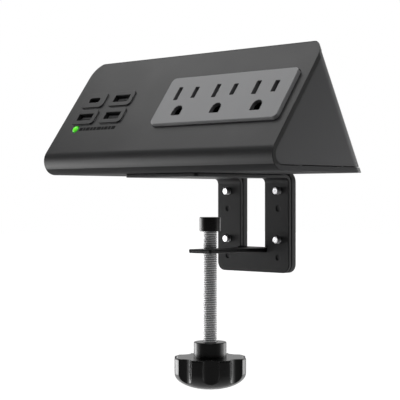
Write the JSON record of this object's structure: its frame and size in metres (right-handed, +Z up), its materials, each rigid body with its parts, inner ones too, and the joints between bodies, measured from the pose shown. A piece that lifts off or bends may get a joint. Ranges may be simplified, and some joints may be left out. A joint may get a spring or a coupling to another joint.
{
  "type": "desk edge power strip",
  "caption": "Wedge-shaped power strip with angled outlets and USB ports, on a steel bracket that clamps to a desk edge with a lobed hand screw.",
  "frame": {"origin": "point where the clamp screw's axis meets the underside of the bracket flange, which rests on the desk top", "axes": "+Z up along the clamp screw, +X along the body towards its right end, +Y towards the desk's edge and away from the user"},
  "size_m": [0.174, 0.0917, 0.1855],
  "materials": {
    "shell_black": "satin black, very fine texture",
    "housing_black": "satin black, very fine texture",
    "panel_grey": "satin grey",
    "inner_plastic": "matt black",
    "ferrite": "matt dark grey",
    "winding": "yellow tape",
    "shutter_grey": "matt dark grey",
    "spring_steel": "bright steel",
    "brass": "plain brass",
    "port_metal": "nickel-plated steel",
    "board": "green solder mask",
    "led_lens": "green, lit",
    "terminal_white": "matt white",
    "wire_black": "smooth insulation",
    "wire_white": "smooth insulation",
    "wire_green": "smooth insulation",
    "bracket_black": "satin black powder coat",
    "knob_black": "glossy black",
    "rod_zinc": "bright zinc plate",
    "screw_steel": "bright zinc plate"
  },
  "bodies": {
    "root": {"bracket_screw_1": "screw_steel", "bracket_screw_2": "screw_steel", "bracket_screw_3": "screw_steel", "bracket_screw_4": "screw_steel", "contact_cover": "inner_plastic", "cord_gland": "inner_plastic", "flange_screw_1": "screw_steel", "flange_screw_2": "screw_steel", "flange_screw_3": "screw_steel", "flange_screw_4": "screw_steel", "front_shell": "shell_black", "gland_nut": "inner_plastic", "ground_bus": "brass", "ground_wire": "wire_green", "housing_screw_1": "screw_steel", "housing_screw_2": "screw_steel", "housing_screw_3": "screw_steel", "housing_screw_4": "screw_steel", "input_capacitor": "inner_plastic", "led": "led_lens", "led_spacer": "inner_plastic", "line_bus": "brass", "line_wire": "wire_black", "lower_bracket": "bracket_black", "neutral_bus": "brass", "neutral_wire": "wire_white", "outlet_frame": "inner_plastic", "outlet_panel": "panel_grey", "output_capacitor": "inner_plastic", "rear_housing": "housing_black", "shutter_spring_1": "spring_steel", "shutter_spring_2": "spring_steel", "shutter_spring_3": "spring_steel", "supply_board": "board", "terminal_block": "terminal_white", "terminal_screw_1": "brass", "terminal_screw_2": "brass", "terminal_screw_3": "brass", "transformer_core": "ferrite", "transformer_winding": "winding", "upper_bracket": "bracket_black", "usb_a_shell_1": "port_metal", "usb_a_shell_2": "port_metal", "usb_a_shell_3": "port_metal", "usb_a_tongue_1": "inner_plastic", "usb_a_tongue_2": "inner_plastic", "usb_a_tongue_3": "inner_plastic", "usb_board": "board", "usb_c_shell": "port_metal", "usb_c_tongue": "inner_plastic"},
    "pad": {"screw_pad": "knob_black"},
    "knob": {"clamp_screw": "rod_zinc", "knob": "knob_black"},
    "shutter_1": {"shutter_1": "shutter_grey"},
    "shutter_2": {"shutter_2": "shutter_grey"},
    "shutter_3": {"shutter_3": "shutter_grey"}
  },
  "joints": [
    {"name": "pad_slide", "type": "slide", "parent": "root", "child": "pad", "axis": [0, 0, 1], "range_m": [-0.00875, 0.02125]},
    {"name": "knob_turn", "type": "hinge", "parent": "pad", "child": "knob", "pos_m": [0, 0, 0], "axis": [0, 0, 1], "range_deg": [-2521, 6121]},
    {"name": "shutter_1_slide", "type": "slide", "parent": "root", "child": "shutter_1", "axis": [1, 0, 0], "range_m": [0, 0.0031], "stiffness_N_per_m": 60, "springref_m": -0.002},
    {"name": "shutter_2_slide", "type": "slide", "parent": "root", "child": "shutter_2", "axis": [1, 0, 0], "range_m": [0, 0.0031], "stiffness_N_per_m": 60, "springref_m": -0.002},
    {"name": "shutter_3_slide", "type": "slide", "parent": "root", "child": "shutter_3", "axis": [1, 0, 0], "range_m": [0, 0.0031], "stiffness_N_per_m": 60, "springref_m": -0.002}
  ],
  "couplings": [
    {"joint": "knob_turn", "follows": "pad_slide", "rad_per_m": 5026.5}
  ]
}
